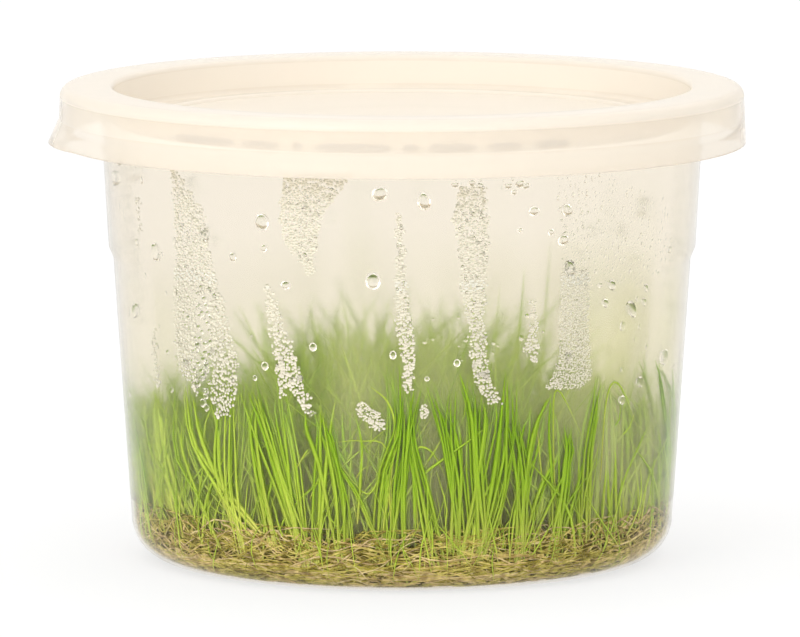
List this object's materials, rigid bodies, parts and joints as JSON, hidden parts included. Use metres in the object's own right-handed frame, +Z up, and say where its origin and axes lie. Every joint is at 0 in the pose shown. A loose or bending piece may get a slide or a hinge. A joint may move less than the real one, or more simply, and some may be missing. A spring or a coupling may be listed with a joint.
{
  "type": "dwarf hairgrass in a culture tub",
  "caption": "Lawn of dwarf hairgrass growing from a root mat inside a round, milky clear plastic culture tub with a recessed press-on lid and a pull tab.",
  "frame": {"origin": "middle of the tub's underside, on its axis, where it rests on a table", "axes": "+Z up along the tub's axis; the tub is round about it, and the lid's pull tab points to -X; the picture is taken from the -Y side"},
  "size_m": [0.1197, 0.118, 0.0814],
  "materials": {
    "tub_plastic": "satin",
    "lid_plastic": "satin",
    "root_felt": "matte",
    "grass_blades": "satin",
    "condensation": "polished"
  },
  "bodies": {
    "root": {"lid": "lid_plastic", "root_mat": "root_felt", "tub": "tub_plastic", "tuft_inner_01": "grass_blades", "tuft_inner_02": "grass_blades", "tuft_inner_03": "grass_blades", "tuft_inner_04": "grass_blades", "tuft_middle_01": "grass_blades", "tuft_middle_02": "grass_blades", "tuft_middle_03": "grass_blades", "tuft_middle_04": "grass_blades", "tuft_middle_05": "grass_blades", "tuft_middle_06": "grass_blades", "tuft_middle_07": "grass_blades", "tuft_middle_08": "grass_blades", "tuft_middle_09": "grass_blades", "tuft_outer_01": "grass_blades", "tuft_outer_02": "grass_blades", "tuft_outer_03": "grass_blades", "tuft_outer_04": "grass_blades", "tuft_outer_05": "grass_blades", "tuft_outer_06": "grass_blades", "tuft_outer_07": "grass_blades", "tuft_outer_08": "grass_blades", "tuft_outer_09": "grass_blades", "tuft_outer_10": "grass_blades", "tuft_outer_11": "grass_blades", "tuft_outer_12": "grass_blades", "tuft_outer_13": "grass_blades", "tuft_outer_14": "grass_blades"}
  },
  "joints": []
}
